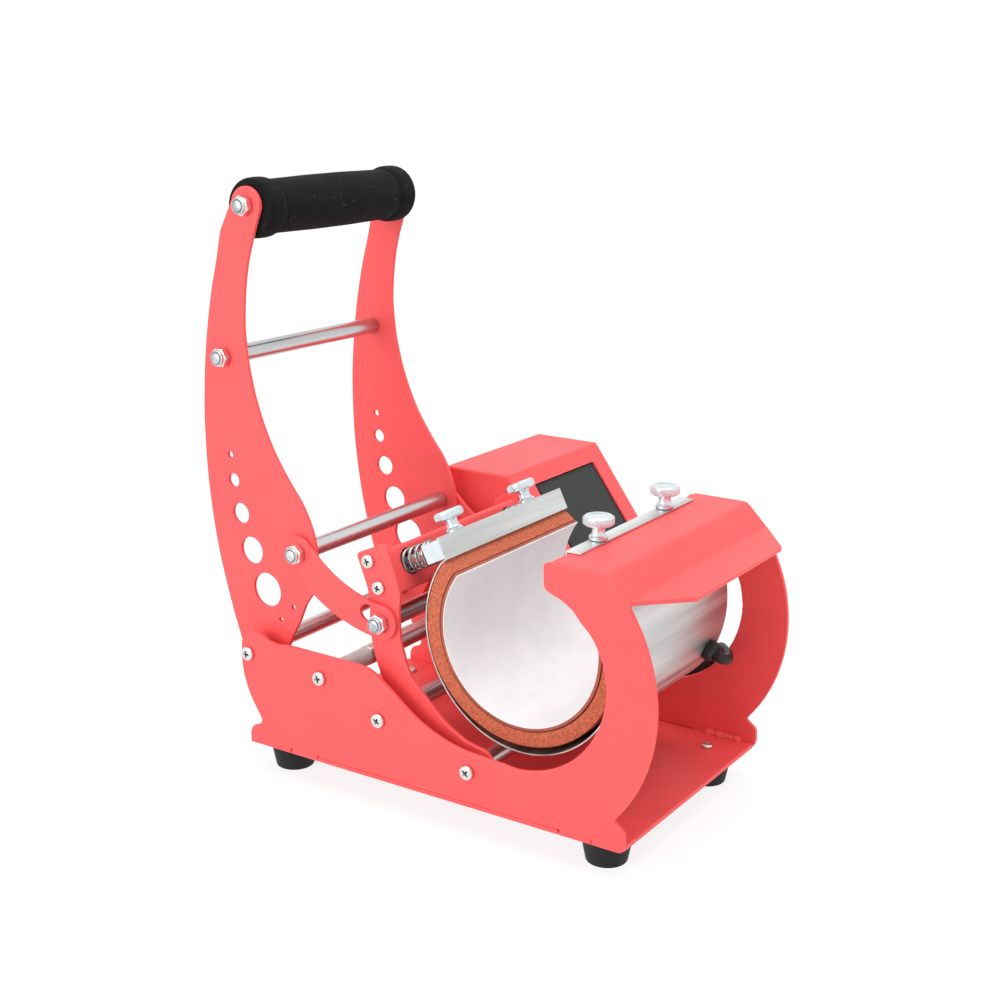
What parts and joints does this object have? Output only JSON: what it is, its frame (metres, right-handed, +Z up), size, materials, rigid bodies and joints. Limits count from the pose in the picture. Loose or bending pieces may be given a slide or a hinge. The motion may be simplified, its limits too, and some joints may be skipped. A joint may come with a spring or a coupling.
{
  "type": "mug heat press",
  "caption": "Mug heat press: a padded handle and links swing a sprung clamp that draws a flexible heater wrap around a mug; wedge-shaped control box beside the frame.",
  "frame": {"origin": "middle of the bounding box, on the plane that the feet stand on", "axes": "+Z up, -Y towards the hood and front lip, +X towards the control box; the heater wrap runs along X"},
  "size_m": [0.2706, 0.3058, 0.3409],
  "materials": {
    "red_paint": "matt coral-red powder coat",
    "bright_steel": "polished plated steel",
    "zinc_steel": "bright zinc plate",
    "wrap_steel": "brushed stainless sheet",
    "spring_steel": "bright drawn wire",
    "sponge_silicone": "open silicone sponge, dull",
    "liner_white": "smooth coated silicone",
    "clear_sleeve": "milky silicone tube",
    "black_foam": "closed-cell foam, very dull",
    "black_rubber": "moulded rubber",
    "black_plastic": "matt moulded plastic",
    "gloss_plastic": "glossy moulded plastic"
  },
  "bodies": {
    "frame": {"base_plate": "red_paint", "side_plate_left": "red_paint", "side_plate_right": "red_paint", "hood": "red_paint", "foot_front_left": "black_rubber", "foot_front_right": "black_rubber", "foot_rear_left": "black_rubber", "foot_rear_right": "black_rubber", "handle_pivot_rod": "bright_steel", "stop_rod": "bright_steel", "spacer_rod": "bright_steel", "swing_pivot_rod": "bright_steel", "stop_sleeve_left": "clear_sleeve", "stop_sleeve_right": "clear_sleeve", "handle_pivot_screw_left": "bright_steel", "handle_pivot_screw_right": "bright_steel", "stop_screw_left": "bright_steel", "stop_screw_right": "bright_steel", "spacer_screw_left": "bright_steel", "spacer_screw_right": "bright_steel", "swing_pivot_screw_left": "bright_steel", "swing_pivot_screw_right": "bright_steel", "heater_shell": "wrap_steel", "heater_sponge": "sponge_silicone", "heater_liner": "liner_white", "lead_gland": "black_plastic", "heater_lead": "black_plastic", "lead_boot": "black_plastic", "control_box": "red_paint", "box_cover": "red_paint", "control_panel": "black_plastic", "power_inlet": "black_plastic"},
    "handle": {"handle_arm_left": "red_paint", "handle_arm_right": "red_paint", "grip_rod": "bright_steel", "foam_grip": "black_foam", "spreader_rod": "bright_steel", "link_rod": "bright_steel", "grip_nut_left": "bright_steel", "grip_nut_right": "bright_steel", "spreader_nut_left": "bright_steel", "spreader_nut_right": "bright_steel", "link_nut_left": "bright_steel", "link_nut_right": "bright_steel"},
    "links": {"link_left": "red_paint", "link_right": "red_paint"},
    "swing": {"swing_arm_left": "red_paint", "swing_arm_right": "red_paint", "crossbar": "red_paint", "swing_rod": "bright_steel", "swing_nut_left": "bright_steel", "swing_nut_right": "bright_steel"},
    "clamp": {"clamp_bar": "zinc_steel", "clamp_spring_left": "spring_steel", "clamp_spring_right": "spring_steel"},
    "front_screw_left": {"front_thumb_screw_left": "zinc_steel"},
    "front_screw_right": {"front_thumb_screw_right": "zinc_steel"},
    "rear_screw_left": {"rear_thumb_screw_left": "zinc_steel"},
    "rear_screw_right": {"rear_thumb_screw_right": "zinc_steel"},
    "rocker": {"power_rocker": "gloss_plastic"}
  },
  "joints": [
    {"name": "handle_pivot", "type": "hinge", "parent": "frame", "child": "handle", "pos_m": [-0.05355, 0.11637, 0.0729], "axis": [1, 0, 0], "range_deg": [0, 39]},
    {"name": "swing_pivot", "type": "hinge", "parent": "frame", "child": "swing", "pos_m": [-0.05355, -0.03643, 0.0383], "axis": [1, 0, 0], "range_deg": [0, 24.93], "deforming": ["heater_shell", "heater_sponge", "heater_liner"]},
    {"name": "link_pivot", "type": "hinge", "parent": "handle", "child": "links", "pos_m": [-0.05355, 0.08367, 0.1367], "axis": [1, 0, 0], "range_deg": [-89.06, 0]},
    {"name": "clamp_slide", "type": "slide", "parent": "swing", "child": "clamp", "axis": [0, 0.8957, -0.4447], "range_m": [0, 0.006], "stiffness_N_per_m": 1500, "springref_m": -0.004, "deforming": ["clamp_spring_left", "clamp_spring_right"]},
    {"name": "front_screw_left_turn", "type": "hinge", "parent": "frame", "child": "front_screw_left", "pos_m": [-0.08975, -0.08873, 0.1651], "axis": [0, 0, 1], "range_deg": [0, 360]},
    {"name": "front_screw_right_turn", "type": "hinge", "parent": "frame", "child": "front_screw_right", "pos_m": [-0.01735, -0.08873, 0.1651], "axis": [0, 0, 1], "range_deg": [0, 360]},
    {"name": "rear_screw_left_turn", "type": "hinge", "parent": "clamp", "child": "rear_screw_left", "pos_m": [-0.08975, 0.00061, 0.15433], "axis": [0, 0.4447, 0.8957], "range_deg": [0, 360]},
    {"name": "rear_screw_right_turn", "type": "hinge", "parent": "clamp", "child": "rear_screw_right", "pos_m": [-0.01735, 0.00061, 0.15433], "axis": [0, 0.4447, 0.8957], "range_deg": [0, 360]},
    {"name": "rocker_tilt", "type": "hinge", "parent": "frame", "child": "rocker", "pos_m": [0.10245, 0.08877, 0.0698], "axis": [1, 0, 0], "range_deg": [-16, 0]}
  ],
  "couplings": [
    {"joint": "swing_pivot", "follows": "handle_pivot", "ratio": 0.63916},
    {"joint": "link_pivot", "follows": "handle_pivot", "ratio": -2.2835}
  ]
}
